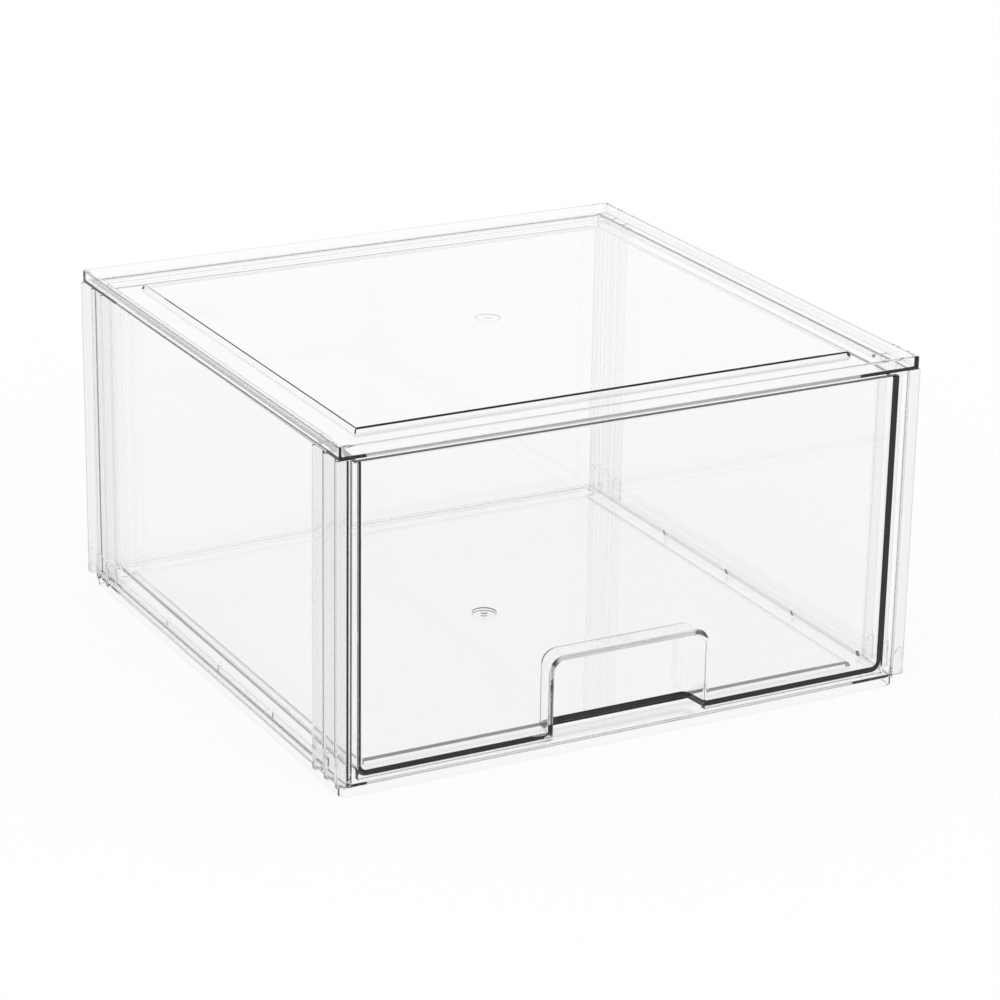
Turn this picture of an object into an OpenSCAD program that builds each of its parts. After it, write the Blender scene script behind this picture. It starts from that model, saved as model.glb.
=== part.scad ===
// Stackable clear drawer box: a casing of five moulded panels and a one-piece drawer.
// Origin: on the resting plane, in the middle of the plan. +Z up, the drawer opens along -Y.

/* [Casing] */
// Width over the corner posts
body_w = 300; // [240:1:380]
// Depth over the corner posts
body_d = 293; // [220:1:360]
// Height from the resting plane to the top of the stacking lip
body_h = 166; // [110:1:220]
// Gap left round pieces that fit together
fit_gap = 0.3; // [0.2:0.05:0.4]
// Gap between the upright panels and the faces of the base and top panels that hold them
seat_gap = 0.1; // [0.05:0.05:0.2]

/* [Side panels and posts] */
// Thickness of the side and back sheets
sheet_t = 2.2; // [1.6:0.1:3]
// How far the post ribs stand out of the side sheet
rib_reach = 5.4; // [4.6:0.1:7]
// Thickness of a post rib
rib_t = 1.8; // [1.2:0.1:2.4]
// Distance from one post rib to the next
rib_pitch = 12; // [9:0.5:16]
// Number of ribs in a post
rib_count = 3; // [2:1:4]

/* [Top panel] */
// Thickness of the top panel
top_t = 1.2; // [1:0.1:2.4]
// Height of the stacking lip above the border
lip_h = 5.1; // [3:0.1:7]
// Thickness of the stacking lip
lip_t = 2; // [1.4:0.1:2.6]
// How far the post faces stand out beyond the lip at each side
lip_inset = 1; // [0.6:0.1:2]
// Width of the groove between the lip and the raised plateau at each side
groove_side = 18.5; // [12:0.5:30]
// Width of the same groove at the front and at the rear
groove_end = 25; // [12:0.5:40]
// Height of the raised plateau above the border
plateau_h = 2.2; // [1.4:0.1:3]
// Height of the locating frame under the top panel
frame_h = 1.8; // [1.2:0.1:2.4]

/* [Base panel] */
// Height of the nesting skirt, from the resting plane to the foot of the posts
skirt_h = 6.2; // [5:0.1:8]
// Thickness of the skirt
skirt_t = 2; // [1.4:0.1:3]
// Thickness of the base plate
base_t = 2; // [1.4:0.1:3]
// Corner radius of the skirt in plan
skirt_r = 4.5; // [2:0.5:8]
// Height of the raised middle of the base plate, which the drawer slides on
base_rise = 2.3; // [1:0.1:3]
// Distance from the skirt's outer face to the raised middle at each side
base_border_side = 16.4; // [14:0.2:30]
// Distance from the skirt's outer face to the raised middle at the front and at the rear
base_border_end = 14.8; // [14:0.2:30]
// Height of the base rails above the base plate
rail_h = 4; // [2:0.5:6]
// Thickness of the rails and of the locating frame
rail_t = 2.2; // [1.4:0.1:2.4]
// Radius of the round guide pads on the side rails
pad_r = 2.7; // [2:0.1:3]
// Distance from one guide pad to the next
pad_pitch = 62; // [40:1:80]
// Gap between a guide pad and the drawer's foot
guide_gap = 0.4; // [0.3:0.05:0.8]
// Height of the fins that stand between the post ribs
fin_h = 13.5; // [10:0.5:20]
// Thickness of a fin
fin_t = 1.2; // [0.8:0.1:1.6]
// Height of the rounded inner corner at the top of a fin
fin_round_h = 8; // [4:0.5:9]
// Width of the flat that is left at the top of a fin
fin_flat = 0.4; // [0.2:0.1:1]

/* [Drawer] */
// Gap between the drawer's side and the side sheet at the rim
side_gap = 3.3; // [2.9:0.1:6]
// Thickness of the front plate
front_t = 3; // [2.4:0.1:4]
// How far the front plate lies behind the posts' front plane
front_setback = 1.3; // [0.5:0.1:3]
// Gap under the front plate
front_gap_below = 1.6; // [1:0.1:3]
// Gap over the front plate
front_gap_above = 2.1; // [1:0.1:3]
// Thickness of the tub's side and rear walls
tub_t = 2.2; // [1.6:0.1:2.8]
// Thickness of the tub's floor
floor_t = 2.6; // [1.8:0.1:3.2]
// How much lower than the front plate the side and rear walls end
wall_drop = 1.4; // [0.6:0.1:4]
// Gap between the tub's rear wall and the back panel
rear_gap = 4.2; // [2:0.1:12]
// Side draft of the tub walls from the rim down to the foot
wall_draft = 0.3; // [0.1:0.1:1]
// How much narrower each side of the tub is at the rear
rear_taper = 0.7; // [0:0.1:1.5]
// Radius of the tub's rear corners
corner_r = 5; // [3:0.5:8]
// Radius of the inner fillet between the tub's floor and its side and rear walls
floor_r = 2.8; // [1:0.1:4]

/* [Finger pocket] */
// Width of the pocket's mouth
pocket_w = 80.5; // [60:0.5:100]
// Height of the pocket's roof above the foot of the front plate
pocket_h = 38.4; // [26:0.2:48]
// Depth of the pocket behind the front face
pocket_depth = 15; // [10:0.5:20]
// Radius of the pocket's upper corners
pocket_r = 5.5; // [3.5:0.5:8]
// Radius of the hollow along the pocket's rear edges
pocket_rear_r = 2.4; // [1:0.2:3.4]
// How much the pocket narrows at each side from mouth to back
pocket_draft = 1.9; // [0.5:0.1:3]

/* [Gate marks] */
// Radius of a gate mark
gate_r = 6; // [3:0.5:8]
// Depth of a gate mark
gate_depth = 0.4; // [0.2:0.1:0.6]

/* [Hidden] */
$fn = 64;
// Overlap of solids that are joined, and how far a cut runs past a face
EPS = 0.01;
CUT = 1;
// How far the front plate's sides stand out from the tub's
SEAM = 0.05;
// Facets of a round edge
EDGE_STEPS = 8;
CLEAR = [0.9, 0.95, 0.98, 0.45];
CLEAR_DRAWER = [0.82, 0.9, 0.95, 0.45];

// Levels, from the resting plane up
base_top = skirt_h;
top_seat = body_h - lip_h - top_t;
border_top = top_seat + top_t;
slide_top = base_top + base_rise;
front_foot = base_top + front_gap_below;
front_top = top_seat - front_gap_above;
floor_under = slide_top + fit_gap;
floor_top = floor_under + floor_t;
wall_top = front_top - wall_drop;
panel_foot = base_top + seat_gap;
panel_h = top_seat - seat_gap - panel_foot;

// Casing in plan
sheet_out = body_w / 2 - rib_reach;
sheet_in = sheet_out - sheet_t;
post_len = (rib_count - 1) * rib_pitch + rib_t;
lip_w = body_w - 2 * lip_inset;
nest_w = lip_w - 2 * lip_t;
nest_d = body_d - 2 * lip_t;
plateau_w = nest_w - 2 * groove_side;
plateau_d = nest_d - 2 * groove_end;
skirt_w = nest_w - 2 * fit_gap;
skirt_d = nest_d - 2 * fit_gap;
back_in = body_d / 2 - rib_t - sheet_t;
rail_out = sheet_in - fit_gap;
rear_rail_out = back_in - fit_gap;

// Drawer in plan
front_y = -body_d / 2 + front_setback;
plate_half = sheet_in - side_gap;
tub_half = plate_half - SEAM;
tub_rear = back_in - rear_gap;
pocket_wall_y = front_y + pocket_depth;

// How far the tub's upright faces have moved in at a height
function draft_at(z) = wall_draft * (wall_top - z) / (wall_top - floor_under);

// A plan rectangle about the origin with round corners
module round_rect(w, d, r) {
    square([w - 2 * r, d], center = true);
    square([w, d - 2 * r], center = true);
    for (sx = [-1, 1], sy = [-1, 1])
        translate([sx * (w / 2 - r), sy * (d / 2 - r)])
            circle(r);
}

// A U in plan, open to the front, whose legs end at the front posts
module rail_u(out_x, out_y, front) {
    difference() {
        intersection() {
            round_rect(2 * out_x, 2 * out_y, corner_r);
            translate([-out_x, front])
                square([2 * out_x, out_y - front]);
        }
        translate([0, -rail_t])
            round_rect(2 * (out_x - rail_t), 2 * out_y, corner_r - rail_t);
    }
}

// A gate mark: a ring sunk into a face, with the gate's stub left in its middle
module gate_ring() {
    difference() {
        cylinder(r = gate_r, h = 2 * gate_depth, center = true);
        cylinder(r = gate_r / 4, h = 3 * gate_depth, center = true);
    }
}

module top_panel() {
    color(CLEAR)
        difference() {
            union() {
                translate([0, 0, top_seat])
                    linear_extrude(body_h - top_seat)
                        round_rect(lip_w, body_d, lip_t / 2);
                translate([0, 0, top_seat - frame_h])
                    linear_extrude(frame_h + EPS)
                        rail_u(rail_out, rear_rail_out, -body_d / 2 + post_len);
            }
            difference() {
                translate([0, 0, border_top])
                    linear_extrude(lip_h + CUT)
                        round_rect(nest_w, nest_d, lip_t / 2);
                translate([0, 0, border_top - EPS])
                    linear_extrude(plateau_h + EPS)
                        square([plateau_w, plateau_d], center = true);
            }
            translate([0, 0, top_seat - CUT])
                linear_extrude(plateau_h + CUT)
                    square([plateau_w - 2 * top_t, plateau_d - 2 * top_t], center = true);
            translate([0, 0, top_seat + plateau_h])
                gate_ring();
        }
}

// A fin of the +X side, from y to y + fin_t, with its inner upper corner rounded off
module fin(y) {
    inner_x = sheet_out + fit_gap;
    outer_x = body_w / 2 - fit_gap;
    round_w = outer_x - inner_x - fin_flat;
    root_x = skirt_w / 2 - skirt_t / 2;
    corners = [[outer_x, base_top + fin_h], [outer_x, base_top], [inner_x, base_top]];
    arc = [
        for (a = [0 : 10 : 90])
            [inner_x + round_w * (1 - cos(a)), base_top + fin_h - fin_round_h * (1 - sin(a))]
    ];
    translate([0, y + fin_t, 0])
        rotate([90, 0, 0])
            linear_extrude(fin_t) {
                translate([inner_x, base_top - base_t])
                    square([root_x - inner_x, base_t + EPS]);
                polygon(concat(corners, arc));
            }
}

// The fins of the +X, +Y corner: one inside the end rib, and one outside each of the other ribs
module corner_fins() {
    fin(body_d / 2 - rib_t - fit_gap - fin_t);
    for (i = [1 : rib_count - 1])
        fin(body_d / 2 - i * rib_pitch + fit_gap);
}

module base_panel() {
    mid_w = skirt_w - 2 * base_border_side;
    mid_d = skirt_d - 2 * base_border_end;
    color(CLEAR)
        difference() {
            union() {
                linear_extrude(base_top)
                    round_rect(skirt_w, skirt_d, skirt_r);
                translate([0, 0, base_top - EPS])
                    linear_extrude(base_rise + EPS)
                        square([mid_w, mid_d], center = true);
                translate([0, 0, base_top - EPS])
                    linear_extrude(rail_h + EPS)
                        rail_u(rail_out, rear_rail_out, -body_d / 2 + post_len);
                guide_pads();
                for (sx = [0, 1], sy = [0, 1])
                    mirror([sx, 0, 0])
                        mirror([0, sy, 0])
                            corner_fins();
            }
            translate([0, 0, -CUT])
                linear_extrude(base_top - base_t + CUT)
                    round_rect(skirt_w - 2 * skirt_t, skirt_d - 2 * skirt_t, skirt_r - skirt_t);
            translate([0, 0, base_top - base_t - EPS])
                linear_extrude(base_rise + EPS)
                    square([mid_w - 2 * base_t, mid_d - 2 * base_t], center = true);
            translate([0, 0, slide_top])
                gate_ring();
        }
}

// Round pads that stand out of the side rails' inner faces and guide the drawer's foot
module guide_pads() {
    pad_x = tub_half - wall_draft + guide_gap + pad_r;
    for (sx = [0, 1], i = [-1 : 1])
        mirror([sx, 0, 0])
            intersection() {
                translate([pad_x, i * pad_pitch, base_top - EPS])
                    cylinder(r = pad_r, h = rail_h + EPS);
                translate([rail_out - 2 * pad_r, -body_d / 2, 0])
                    cube([2 * pad_r, body_d, body_h]);
            }
}

// The side panel on the +X side: a sheet with a ribbed post at each end
module side_panel() {
    translate([sheet_in, -body_d / 2, panel_foot])
        cube([sheet_t, body_d, panel_h]);
    for (sy = [0, 1])
        mirror([0, sy, 0])
            for (i = [0 : rib_count - 1])
                translate([sheet_out - EPS, body_d / 2 - rib_t - i * rib_pitch, panel_foot])
                    cube([rib_reach + EPS, rib_t, panel_h]);
}

module left_side_panel() {
    color(CLEAR)
        mirror([1, 0, 0])
            side_panel();
}

module right_side_panel() {
    color(CLEAR)
        side_panel();
}

module back_panel() {
    color(CLEAR)
        translate([-sheet_in + fit_gap, back_in, panel_foot])
            cube([2 * (sheet_in - fit_gap), sheet_t, panel_h]);
}

// One level of the tub's plan from the middle of the front plate back, inset from tub_half
module tub_level(z, inset, rear_r) {
    front_half = tub_half - inset;
    rear_half = front_half - rear_taper;
    translate([0, 0, z])
        linear_extrude(EPS) {
            for (sx = [-1, 1]) {
                translate([sx * (front_half - EPS / 2), front_y + front_t / 2])
                    square(EPS, center = true);
                translate([sx * (rear_half - rear_r), tub_rear - inset - rear_r])
                    circle(rear_r, $fn = 32);
            }
        }
}

// The tub's form with an upright face that lies that far inside, and a round edge along its foot
module tub_form(foot, inset, edge_r) {
    face_inset = inset + draft_at(foot + edge_r);
    hull() {
        tub_level(wall_top - EPS, inset, corner_r - inset);
        for (i = [0 : EDGE_STEPS])
            tub_level(
                foot + edge_r * (1 - cos(90 * i / EDGE_STEPS)),
                face_inset + edge_r * (1 - sin(90 * i / EDGE_STEPS)),
                corner_r - inset
            );
    }
}

// The front plate, whose sides follow the draft of the tub's sides
module front_plate() {
    foot_half = plate_half - draft_at(front_foot);
    top_half = plate_half - draft_at(front_top);
    translate([0, front_y + front_t, 0])
        rotate([90, 0, 0])
            linear_extrude(front_t)
                polygon([
                    [-foot_half, front_foot], [foot_half, front_foot],
                    [top_half, front_top], [-top_half, front_top]
                ]);
}

// The pocket's arch in the front view at a depth, widened by grow
module pocket_level(y, grow) {
    r = pocket_r + grow;
    top = front_foot + pocket_h + grow;
    w = pocket_w / 2 - pocket_draft * (y - front_y) / pocket_depth + grow;
    translate([0, y, 0])
        rotate([90, 0, 0])
            linear_extrude(EPS) {
                translate([-w, 0])
                    square([2 * w, top - r]);
                for (sx = [-1, 1])
                    translate([sx * (w - r), top - r])
                        circle(r, $fn = 32);
            }
}

// The pocket as a solid from y0 to its rear, grown by a wall for its shell, with round rear edges
module pocket_form(y0, grow) {
    edge_r = pocket_rear_r + grow;
    rear = pocket_wall_y + grow;
    hull() {
        pocket_level(y0, grow);
        for (i = [0 : EDGE_STEPS])
            pocket_level(
                rear - edge_r * (1 - cos(90 * i / EDGE_STEPS)),
                grow - edge_r * (1 - sin(90 * i / EDGE_STEPS))
            );
    }
}

module drawer() {
    color(CLEAR_DRAWER)
        difference() {
            union() {
                front_plate();
                difference() {
                    tub_form(floor_under, 0, floor_r + tub_t);
                    translate([0, 0, 2 * EPS])
                        tub_form(floor_top - 2 * EPS, tub_t, floor_r);
                }
                intersection() {
                    pocket_form(front_y + EPS, tub_t);
                    translate([-pocket_w, front_y, floor_under])
                        cube([2 * pocket_w, body_d, body_h]);
                }
            }
            pocket_form(front_y - CUT, 0);
            translate([0, 0, floor_top])
                gate_ring();
        }
}

top_panel();
base_panel();
left_side_panel();
right_side_panel();
back_panel();
drawer();
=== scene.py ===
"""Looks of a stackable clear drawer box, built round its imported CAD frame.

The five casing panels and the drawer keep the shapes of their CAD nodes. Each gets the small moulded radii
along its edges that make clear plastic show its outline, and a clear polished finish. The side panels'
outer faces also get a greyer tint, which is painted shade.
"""

import logging
import math
from dataclasses import dataclass, field
from enum import Enum
from typing import Any

import bmesh
import bpy
from mathutils import Matrix, Vector


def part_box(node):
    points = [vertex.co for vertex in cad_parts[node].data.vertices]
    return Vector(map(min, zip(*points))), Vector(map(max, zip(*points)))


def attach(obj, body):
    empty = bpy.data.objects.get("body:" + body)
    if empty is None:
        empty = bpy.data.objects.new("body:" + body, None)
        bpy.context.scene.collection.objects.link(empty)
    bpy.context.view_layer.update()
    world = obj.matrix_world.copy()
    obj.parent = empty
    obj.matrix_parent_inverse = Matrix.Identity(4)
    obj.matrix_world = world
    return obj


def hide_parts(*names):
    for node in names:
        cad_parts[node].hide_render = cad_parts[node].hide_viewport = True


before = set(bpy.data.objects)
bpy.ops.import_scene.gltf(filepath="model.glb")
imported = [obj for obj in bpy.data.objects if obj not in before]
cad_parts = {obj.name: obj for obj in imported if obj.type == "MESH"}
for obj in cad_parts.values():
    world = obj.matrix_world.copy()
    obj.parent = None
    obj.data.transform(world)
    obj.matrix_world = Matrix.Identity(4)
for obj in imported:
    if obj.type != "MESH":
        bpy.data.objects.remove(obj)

LOG = logging.getLogger("drawer_box")
MM = 0.001
ORIGIN = (0.0, 0.0, 0.0)
ALONG_X = (1.0, 0.0, 0.0)
ALONG_Y = (0.0, 1.0, 0.0)
ALONG_Z = (0.0, 0.0, 1.0)

Colour = tuple[float, float, float, float]
WHITE: Colour = (1.0, 1.0, 1.0, 1.0)

# How far from its named place an edge may lie.
REACH = 0.3 * MM

# Places of a Mix node's colour sockets, whose names it shares with its number sockets.
MIX_FACTOR = 0
MIX_FIRST = 6
MIX_SECOND = 7
MIX_RESULT = 2


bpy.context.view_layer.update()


class Body(Enum):
    """The rigid bodies of the frame."""

    CASING = "casing"
    DRAWER = "drawer"


class Slot(Enum):
    """The record's material slots."""

    CASING = "casing_plastic"
    DRAWER = "drawer_plastic"


class Wire:
    """A shader socket that can be used in Python expressions."""

    def __init__(self, paint: "Paint", socket: Any) -> None:
        """Wrap a socket.

        Args:
            paint: The material that the socket belongs to.
            socket: The node's output socket.
        """
        self.paint = paint
        self.socket = socket

    def _maths(self, operation: str, left: Any, right: Any) -> "Wire":
        """Add a Math node and return its result."""
        return self.paint.node("ShaderNodeMath", {"operation": operation}, {0: left, 1: right})["Value"]

    def __add__(self, other: Any) -> "Wire":
        """Return self + other."""
        return self._maths("ADD", self, other)

    __radd__ = __add__

    def __sub__(self, other: Any) -> "Wire":
        """Return self - other."""
        return self._maths("SUBTRACT", self, other)

    def __rsub__(self, other: Any) -> "Wire":
        """Return other - self."""
        return self._maths("SUBTRACT", other, self)

    def __mul__(self, other: Any) -> "Wire":
        """Return self * other."""
        return self._maths("MULTIPLY", self, other)

    __rmul__ = __mul__

    def size(self) -> "Wire":
        """Return self without its sign."""
        return self._maths("ABSOLUTE", self, 0.0)

    def over(self, limit: float) -> "Wire":
        """Return a wire that is 1 where self is over the limit, and 0 elsewhere."""
        return self._maths("GREATER_THAN", self, limit)

    def at_most(self, limit: float) -> "Wire":
        """Return self, or the limit where self is over it."""
        return self._maths("MINIMUM", self, limit)


class Outputs:
    """A node's outputs, by name."""

    def __init__(self, paint: "Paint", node: Any) -> None:
        """Wrap a node.

        Args:
            paint: The material that the node belongs to.
            node: The shader node.
        """
        self.paint = paint
        self.raw = node

    def __getitem__(self, name: str | int) -> Wire:
        """Return the output of that name as a wire."""
        return Wire(self.paint, self.raw.outputs[name])


class Paint:
    """A node tree that is being written, of a material or of the world."""

    def __init__(self, tree: Any) -> None:
        """Empty the tree and start on it.

        Args:
            tree: The node tree.
        """
        self.tree = tree
        tree.nodes.clear()

    def node(self, kind: str, settings: dict[str, Any] | None = None,
             sockets: dict[str | int, Any] | None = None) -> Outputs:
        """Add a node.

        Args:
            kind: The node's type.
            settings: Attributes of the node, which are set first.
            sockets: Values or wires of its inputs.

        Returns:
            The node's outputs.
        """
        made = self.tree.nodes.new(kind)
        for name, value in (settings or {}).items():
            setattr(made, name, value)
        for name, value in (sockets or {}).items():
            if isinstance(value, Wire):
                self.tree.links.new(value.socket, made.inputs[name])
            else:
                made.inputs[name].default_value = value
        return Outputs(self, made)


@dataclass(frozen=True)
class ClearPlastic:
    """Polished clear moulded plastic, with the faint waviness and haze of a moulding.

    Where a limit across X is set for the painted shade, the faces that stand further than it from the
    middle plane are tinted greyer; this grey is painted shade, not a colour of the plastic.
    """

    name: str
    absorb_density: float
    # Painted shade: beyond this distance across X the faces take the greyer tint below, standing in for
    # their darker look.
    painted_shade_from: float | None = None
    absorb_colour: Colour = (0.85, 0.85, 0.85, 1.0)
    clear: Colour = WHITE
    painted_shade: Colour = (0.915, 0.915, 0.915, 1.0)
    ior: float = 1.49
    roughest: float = 0.006
    haze_scale: float = 9.0
    haze_detail: float = 3.0
    wave_scale: float = 14.0
    wave_detail: float = 1.0
    wave_strength: float = 0.008
    wave_depth: float = 1.0 * MM

    def material(self) -> bpy.types.Material:
        """Make the finish.

        Returns:
            The material.
        """
        made = bpy.data.materials.new(self.name)
        made.use_nodes = True
        paint = Paint(made.node_tree)
        place = paint.node("ShaderNodeTexCoord")["Object"]
        haze = self._noise(paint, place, self.haze_scale, self.haze_detail)
        wave = self._noise(paint, place, self.wave_scale, self.wave_detail)
        bump = paint.node("ShaderNodeBump", {}, {
            "Strength": self.wave_strength,
            "Distance": self.wave_depth,
            "Height": wave,
        })
        shell = paint.node("ShaderNodeBsdfPrincipled", {}, {
            "Base Color": self._clear_or_painted_shade(paint, place),
            "Roughness": self.roughest * haze,
            "IOR": self.ior,
            "Transmission Weight": 1.0,
            "Normal": bump["Normal"],
        })
        volume = paint.node("ShaderNodeVolumeAbsorption", {}, {
            "Color": self.absorb_colour,
            "Density": self.absorb_density,
        })
        paint.node("ShaderNodeOutputMaterial", {}, {"Surface": shell["BSDF"], "Volume": volume["Volume"]})
        return made

    @staticmethod
    def _noise(paint: Paint, place: Wire, scale: float, detail: float) -> Wire:
        """Return a noise over the piece, from 0 to 1."""
        return paint.node("ShaderNodeTexNoise", {"noise_dimensions": "3D"},
                          {"Vector": place, "Scale": scale, "Detail": detail})["Fac"]

    def _clear_or_painted_shade(self, paint: Paint, place: Wire) -> Wire | Colour:
        """Choose the colour of the surface, with the painted shade where it is set.

        Args:
            paint: The material.
            place: The place on the piece.

        Returns:
            The clear colour, or where a limit for the painted shade is set a wire that goes over to the
            painted grey beyond it.
        """
        if self.painted_shade_from is None:
            return self.clear
        # Painted shade: the faces beyond the limit across X take the greyer tint.
        across = paint.node("ShaderNodeSeparateXYZ", {}, {"Vector": place})["X"]
        return paint.node("ShaderNodeMix", {"data_type": "RGBA"}, {
            MIX_FACTOR: across.size().over(self.painted_shade_from),
            MIX_FIRST: self.clear,
            MIX_SECOND: self.painted_shade,
        })[MIX_RESULT]


@dataclass(frozen=True)
class PaleFloor:
    """A white floor: it shows as white, directly and through the plastic, and keeps a faint shadow."""

    name: str = "pale_floor"
    colour: Colour = (0.98, 0.98, 0.98, 1.0)
    roughness: float = 0.8
    shadow_share: float = 0.08

    def material(self) -> bpy.types.Material:
        """Make the finish.

        Returns:
            The material.
        """
        made = bpy.data.materials.new(self.name)
        made.use_nodes = True
        paint = Paint(made.node_tree)
        rays = paint.node("ShaderNodeLightPath")
        seen = rays["Is Camera Ray"] + rays["Is Glossy Ray"] + rays["Is Transmission Ray"]
        matt = paint.node("ShaderNodeBsdfDiffuse", {}, {"Color": self.colour, "Roughness": self.roughness})
        glow = paint.node("ShaderNodeEmission", {}, {"Color": WHITE, "Strength": 1.0})
        sweep = paint.node("ShaderNodeMixShader", {}, {
            "Fac": seen.at_most(1.0) * (1.0 - self.shadow_share),
            1: matt["BSDF"],
            2: glow["Emission"],
        })
        paint.node("ShaderNodeOutputMaterial", {}, {"Surface": sweep["Shader"]})
        return made


@dataclass(frozen=True)
class Zone:
    """The space inside one box and outside another, the core, which is centred on the Z axis."""

    low: Vector
    high: Vector
    core: Vector = Vector(ORIGIN)

    def holds(self, edge: bmesh.types.BMEdge) -> bool:
        """Tell whether both ends of an edge lie in the zone."""
        return all(self._holds_point(corner.co) for corner in edge.verts)

    def _holds_point(self, point: Vector) -> bool:
        """Tell whether a point lies in the zone."""
        inside = all(low <= value <= high for low, value, high in zip(self.low, point, self.high))
        return inside and (abs(point.x) > self.core.x or abs(point.y) > self.core.y)


@dataclass(frozen=True)
class Round:
    """A larger moulded radius, along the sharp edges that lie in one zone."""

    radius: float
    zone: Zone


def ring(radius: float, level: float, half_x: float, half_y: float, reach: float = REACH) -> Round:
    """Return the round of a rectangle of edges about the Z axis.

    Args:
        radius: The moulded radius.
        level: The height of the edges.
        half_x: Half the rectangle's width.
        half_y: Half the rectangle's depth.
        reach: How far from the rectangle a point may lie.

    Returns:
        The round.
    """
    corner = Vector((half_x + reach, half_y + reach, 0.0))
    up = Vector((0.0, 0.0, reach))
    middle = Vector((0.0, 0.0, level))
    core = Vector((half_x - reach, half_y - reach, 0.0))
    return Round(radius, Zone(middle - corner - up, middle + corner + up, core))


def step_rounds(step: Vector, rise: float, plate: float, inner: float) -> tuple[Round, ...]:
    """Return the rounds of a raised middle, as a sheet of even thickness bends round them.

    Args:
        step: The half width and half depth of the step, and the level of the plate round it.
        rise: How far the middle stands above the plate round it.
        plate: The plate's thickness.
        inner: The radius on the inside of each bend.

    Returns:
        The rounds of the step's two upper and two lower edges.
    """
    under = step - Vector((plate, plate, plate))
    outer = inner + plate
    return (
        ring(outer, step.z + rise, step.x, step.y),
        ring(inner, step.z, step.x, step.y),
        ring(inner, under.z + rise, under.x, under.y),
        ring(outer, under.z, under.x, under.y),
    )


def only(piece: bpy.types.Object) -> None:
    """Select one object alone and make it active.

    Args:
        piece: The object.
    """
    bpy.ops.object.select_all(action="DESELECT")
    piece.select_set(True)
    bpy.context.view_layer.objects.active = piece


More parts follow.
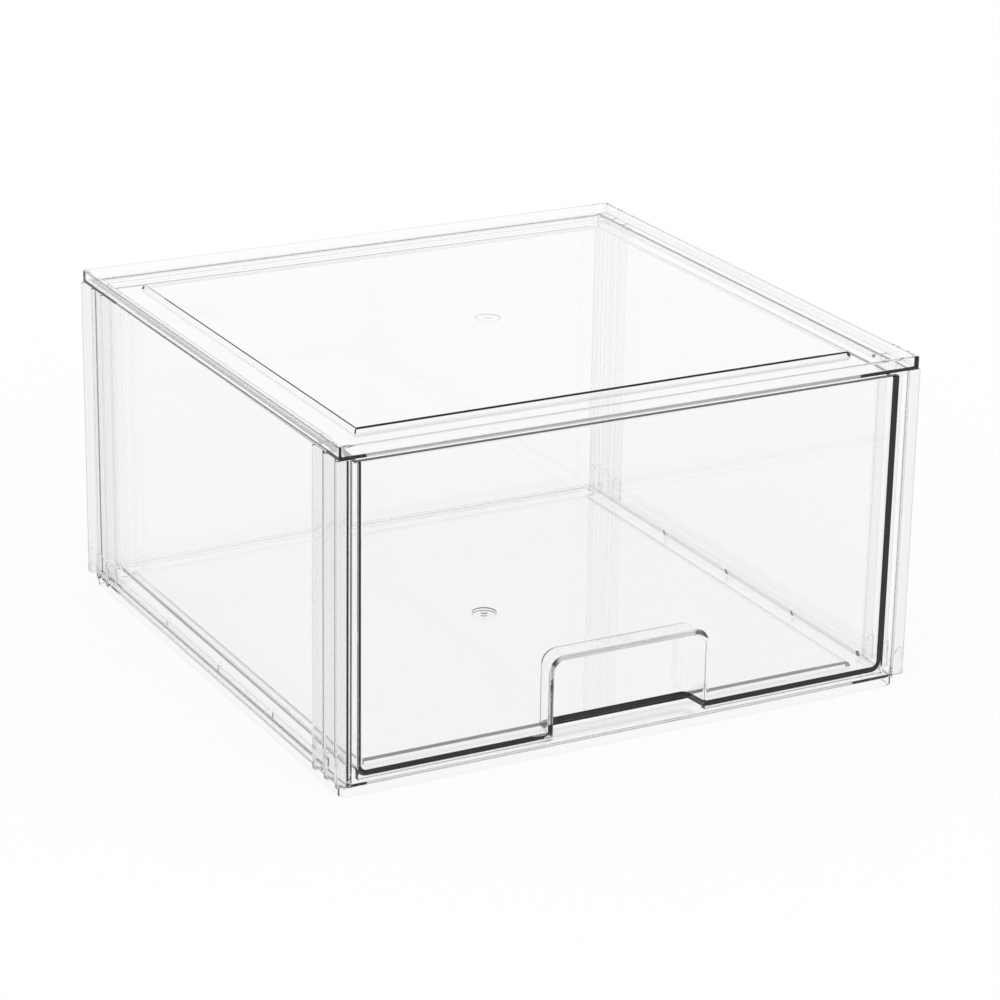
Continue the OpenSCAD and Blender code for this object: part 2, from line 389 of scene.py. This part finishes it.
@dataclass
class Moulding:
    """A panel or tub of the box: its CAD node with the mould's small radius along every edge."""

    node: str
    body: Body
    slot: Slot
    rounds: tuple[Round, ...] = ()
    levels: tuple[float, ...] = ()
    edge: float = 0.3 * MM
    gate_edge: float = 0.18 * MM
    gate_half: float = 7.0 * MM
    edge_steps: int = 3
    weld: float = 0.06 * MM
    room_share: float = 0.9
    room_passes: int = 6
    straight_on: float = 0.9
    flat_angle: float = math.radians(1.0)
    edge_angle: float = math.radians(32.0)
    even_weight: int = 100

    def build(self, finish: bpy.types.Material) -> bpy.types.Object:
        """Copy the node, round its edges and dress it.

        Args:
            finish: The material of the whole piece.

        Returns:
            The finished piece.
        """
        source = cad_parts[self.node]
        piece = bpy.data.objects.new(f"{self.node}_shell", source.data.copy())
        bpy.context.scene.collection.objects.link(piece)
        self._join_faces(piece)
        self._round_edges(piece)
        self._shade(piece)
        piece.data.materials.clear()
        piece.data.materials.append(finish)
        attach(piece, self.body.value)
        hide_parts(self.node)
        LOG.info("%s: %d faces", piece.name, len(piece.data.polygons))
        return piece

    def _join_faces(self, piece: bpy.types.Object) -> None:
        """Weld the loose triangles and merge those that lie in one plane.

        The piece is cut at its middle planes, so that no merged face runs all round an opening, and at its
        levels.

        Args:
            piece: The copy of the CAD node.
        """
        only(piece)
        bpy.ops.object.mode_set(mode="EDIT")
        bpy.ops.mesh.select_all(action="SELECT")
        bpy.ops.mesh.remove_doubles(threshold=self.weld)
        for level in self.levels:
            bpy.ops.mesh.select_all(action="SELECT")
            bpy.ops.mesh.bisect(plane_co=(0.0, 0.0, level), plane_no=ALONG_Z)
        bpy.ops.mesh.select_all(action="SELECT")
        bpy.ops.mesh.remove_doubles(threshold=self.weld)
        for across in (ALONG_X, ALONG_Y):
            bpy.ops.mesh.select_all(action="SELECT")
            bpy.ops.mesh.bisect(plane_co=ORIGIN, plane_no=across)
            bpy.ops.mesh.mark_seam()
        bpy.ops.mesh.select_all(action="SELECT")
        bpy.ops.mesh.dissolve_limited(angle_limit=self.flat_angle, delimit={"SEAM"})
        bpy.ops.object.mode_set(mode="OBJECT")

    def _wanted(self, edge: bmesh.types.BMEdge) -> float:
        """Find the moulded radius that an edge has where there is room for it.

        Args:
            edge: An edge of the piece.

        Returns:
            The radius, or 0 where the surface runs on smoothly.
        """
        if not edge.is_manifold or edge.calc_face_angle() <= self.edge_angle:
            return 0.0
        if all(max(abs(corner.co.x), abs(corner.co.y)) < self.gate_half for corner in edge.verts):
            return self.gate_edge
        return next((large.radius for large in self.rounds if large.zone.holds(edge)), self.edge)

    def _beside(self, edge: bmesh.types.BMEdge, corner: bmesh.types.BMVert) -> list[bmesh.types.BMEdge]:
        """Find the edges at a corner of an edge that don't run on in its direction.

        Args:
            edge: An edge of the piece.
            corner: One of its two ends.

        Returns:
            The other edges there.
        """
        def way(leaving: bmesh.types.BMEdge) -> Vector:
            """Return the direction in which an edge leaves the corner."""
            return (leaving.other_vert(corner).co - corner.co).normalized()

        along = way(edge)
        return [other for other in corner.link_edges
                if other is not edge and abs(along.dot(way(other))) < self.straight_on]

    def _radii(self, mesh: bmesh.types.BMesh) -> dict[bmesh.types.BMEdge, float]:
        """Find every edge's radius, made smaller where two rounds would meet along a short edge.

        Args:
            mesh: The piece's mesh.

        Returns:
            The radius of each edge.
        """
        radii = {edge: self._wanted(edge) for edge in mesh.edges}
        for _ in range(self.room_passes):
            for edge in mesh.edges:
                ends = [self._beside(edge, corner) for corner in edge.verts]
                needed = sum(max((radii[other] for other in end), default=0.0) for end in ends)
                room = self.room_share * edge.calc_length()
                if needed > room:
                    radii.update({other: radii[other] * room / needed for end in ends for other in end})
        return radii

    def _round_edges(self, piece: bpy.types.Object) -> None:
        """Round the sharp edges, each with its own radius, by a bevel that is applied.

        Args:
            piece: The piece with joined faces.
        """
        widest = max([self.edge, *(large.radius for large in self.rounds)])
        mesh = bmesh.new()
        mesh.from_mesh(piece.data)
        share = mesh.edges.layers.float.new("bevel_weight_edge")
        for edge, radius in self._radii(mesh).items():
            edge[share] = radius / widest
        mesh.to_mesh(piece.data)
        mesh.free()
        only(piece)
        bevel = piece.modifiers.new("edge", "BEVEL")
        bevel.width = widest
        bevel.segments = self.edge_steps
        bevel.limit_method = "WEIGHT"
        bevel.use_clamp_overlap = False
        bpy.ops.object.modifier_apply(modifier=bevel.name)

    def _shade(self, piece: bpy.types.Object) -> None:
        """Shade the rounds smooth, with the flat faces left flat.

        Args:
            piece: The piece with rounded edges.
        """
        only(piece)
        bpy.ops.mesh.customdata_custom_splitnormals_clear()
        bpy.ops.object.shade_smooth_by_angle(angle=self.edge_angle)
        even = piece.modifiers.new("even", "WEIGHTED_NORMAL")
        even.mode = "FACE_AREA"
        even.weight = self.even_weight
        even.keep_sharp = True
        bpy.ops.object.modifier_apply(modifier=even.name)


@dataclass
class TopPanel:
    """The top panel: a stacking lip, a groove behind it and a raised plateau."""

    plate: float = 1.2 * MM
    lip: float = 2.0 * MM
    lip_height: float = 5.1 * MM
    groove_side: float = 18.5 * MM
    groove_end: float = 25.0 * MM
    rise: float = 2.2 * MM
    lip_radius: float = 0.8 * MM
    lip_reach: float = 0.5 * MM
    inner_radius: float = 0.4 * MM

    def build(self, finish: bpy.types.Material) -> bpy.types.Object:
        """Build the panel, with larger radii on the lip and on both sides of the plateau's step.

        Args:
            finish: The casing's material.

        Returns:
            The finished panel.
        """
        _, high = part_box("top_panel")
        border = high - Vector((self.lip, self.lip, self.lip_height))
        step = border - Vector((self.groove_side, self.groove_end, 0.0))
        rounds = (ring(self.lip_radius, high.z, high.x, high.y, reach=self.lip_reach),
                  *step_rounds(step, self.rise, self.plate, self.inner_radius))
        return Moulding("top_panel", Body.CASING, Slot.CASING, rounds).build(finish)


@dataclass
class BasePanel:
    """The base panel: a skirt below, and a raised middle that the drawer slides on."""

    plate: float = 2.0 * MM
    level: float = 6.2 * MM
    rise: float = 2.3 * MM
    half_x: float = 130.3 * MM
    half_y: float = 129.4 * MM
    skirt_x: float = 146.7 * MM
    skirt_y: float = 144.2 * MM
    foot_radius: float = 0.8 * MM
    foot_reach: float = 1.5 * MM
    inner_radius: float = 0.1 * MM
    weld: float = 0.15 * MM

    def build(self, finish: bpy.types.Material) -> bpy.types.Object:
        """Build the panel, with larger radii on the skirt's foot and on both sides of the middle's step.

        Args:
            finish: The casing's material.

        Returns:
            The finished panel.
        """
        foot = ring(self.foot_radius, 0.0, self.skirt_x, self.skirt_y, reach=self.foot_reach)
        rounds = (foot, *step_rounds(Vector((self.half_x, self.half_y, self.level)),
                                     self.rise, self.plate, self.inner_radius))
        return Moulding("base_panel", Body.CASING, Slot.CASING, rounds, weld=self.weld).build(finish)


@dataclass
class Casing:
    """The five panels of the casing."""

    finish: ClearPlastic = ClearPlastic("clear_casing", absorb_density=40.0)
    # The side panels' outer faces, beyond 144.7 mm across, get painted shade: a greyer tint on the clear
    # plastic.
    side_finish_and_painted_shade: ClearPlastic = ClearPlastic("clear_sides_painted_shade", absorb_density=45.0, painted_shade_from=144.7 * MM)
    sides: tuple[str, ...] = ("left_side_panel", "right_side_panel")
    rib_edge: float = 0.55 * MM

    def build(self) -> list[bpy.types.Object]:
        """Build every panel.

        Returns:
            The five panels.
        """
        material = self.finish.material()
        side_material_and_painted_shade = self.side_finish_and_painted_shade.material()
        sides = [Moulding(name, Body.CASING, Slot.CASING, edge=self.rib_edge).build(side_material_and_painted_shade)
                 for name in self.sides]
        back = Moulding("back_panel", Body.CASING, Slot.CASING).build(material)
        return [TopPanel().build(material), BasePanel().build(material), *sides, back]


@dataclass
class Drawer:
    """The one-piece drawer: a tub with a thicker front plate and a finger pocket at its foot."""

    finish: ClearPlastic = ClearPlastic("clear_drawer", absorb_density=36.0)
    foot_end: float = 14.57 * MM
    wall_top: float = 156.2 * MM
    pocket_half: float = 40.3 * MM
    pocket_height: float = 38.4 * MM
    mouth_radius: float = 1.0 * MM
    rim_radius: float = 0.8 * MM
    plate: float = 3.0 * MM
    floor: float = 11.4 * MM
    inner_half: float = 137.5 * MM
    inner_radius: float = 0.6 * MM
    weld: float = 0.08 * MM

    def build(self) -> list[bpy.types.Object]:
        """Build the drawer, with larger radii round its front.

        They are at the pocket's mouth, along the front's upper edge and in the corners behind the plate.

        Returns:
            The drawer, alone in a list.
        """
        low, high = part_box("drawer")
        near = Vector((REACH, REACH, REACH))
        mouth = Zone(Vector((-self.pocket_half, low.y, low.z)) - near,
                     Vector((self.pocket_half, low.y, low.z + self.pocket_height)) + near)
        rim = Zone(Vector((low.x, low.y, high.z)) - near, Vector((high.x, low.y, high.z)) + near)
        rear = low.y + self.plate
        inside = Zone(Vector((-self.inner_half, rear, self.floor)) - near,
                      Vector((self.inner_half, rear, self.wall_top)) + near)
        rounds = (Round(self.mouth_radius, mouth), Round(self.rim_radius, rim),
                  Round(self.inner_radius, inside))
        moulding = Moulding("drawer", Body.DRAWER, Slot.DRAWER, rounds, (self.foot_end, self.wall_top),
                            weld=self.weld)
        return [moulding.build(self.finish.material())]


@dataclass
class Studio:
    """The floor, the light and the camera."""

    camera_place: Vector = field(default_factory=lambda: Vector((-0.7617, -1.4261, 0.6667)))
    yaw: float = math.radians(28.37)
    pitch: float = math.radians(20.26)
    roll: float = math.radians(1.0)
    lens_mm: float = 127.23
    sensor_mm: float = 36.0
    near_clip: float = 0.05
    far_clip: float = 100.0
    floor_size: float = 12.0
    floor_drop: float = 0.2 * MM
    ceiling_light: float = 0.5
    ceiling_from: float = math.radians(24.0)
    ceiling_to: float = math.radians(48.0)
    bounces: int = 96
    reflections: int = 24

    def build(self) -> None:
        """Set up everything round the object, and let light run far enough inside the sheets."""
        self._floor()
        self._world()
        self._camera()
        scene = bpy.context.scene
        scene.view_settings.view_transform = "Standard"
        scene.cycles.max_bounces = self.bounces
        scene.cycles.transmission_bounces = self.bounces
        scene.cycles.glossy_bounces = self.reflections

    def _floor(self) -> None:
        """Lay the floor under the box."""
        bpy.ops.object.select_all(action="DESELECT")
        bpy.ops.mesh.primitive_plane_add(size=self.floor_size, location=(0, 0, -self.floor_drop))
        floor = bpy.context.active_object
        floor.name = "floor"
        floor.data.materials.append(PaleFloor().material())

    def _world(self) -> None:
        """Light the box from all round before a white background, a little less from overhead."""
        world = bpy.data.worlds.new("studio")
        world.use_nodes = True
        bpy.context.scene.world = world
        paint = Paint(world.node_tree)
        rays = paint.node("ShaderNodeLightPath")
        through = (rays["Is Glossy Ray"] + rays["Is Transmission Ray"]).at_most(1.0)
        direction = paint.node("ShaderNodeTexCoord")["Generated"]
        height = paint.node("ShaderNodeSeparateXYZ", {}, {"Vector": direction})["Z"]
        overhead = paint.node("ShaderNodeMapRange", {"interpolation_type": "SMOOTHSTEP"}, {
            "Value": height,
            "From Min": math.sin(self.ceiling_from),
            "From Max": math.sin(self.ceiling_to),
        })["Result"]
        back = paint.node("ShaderNodeBackground", {}, {
            "Color": WHITE,
            "Strength": 1.0 - through * overhead * (1.0 - self.ceiling_light),
        })
        paint.node("ShaderNodeOutputWorld", {}, {"Surface": back["Background"]})

    def _camera(self) -> None:
        """Stand the camera in front of the box, to its left and above it."""
        data = bpy.data.cameras.new("camera")
        data.lens = self.lens_mm
        data.sensor_width = self.sensor_mm
        data.clip_start = self.near_clip
        data.clip_end = self.far_clip
        camera = bpy.data.objects.new("camera", data)
        bpy.context.scene.collection.objects.link(camera)
        turn = (Matrix.Rotation(-self.yaw, 4, "Z")
                @ Matrix.Rotation(math.radians(90.0) - self.pitch, 4, "X")
                @ Matrix.Rotation(self.roll, 4, "Z"))
        camera.matrix_world = Matrix.Translation(self.camera_place) @ turn
        bpy.context.scene.camera = camera


def main() -> None:
    """Build the box and its studio."""
    logging.basicConfig(level=logging.INFO, format="%(name)s %(message)s")
    Studio().build()
    pieces = Casing().build() + Drawer().build()
    LOG.info("%d pieces", len(pieces))


if __name__ == "__main__":
    main()
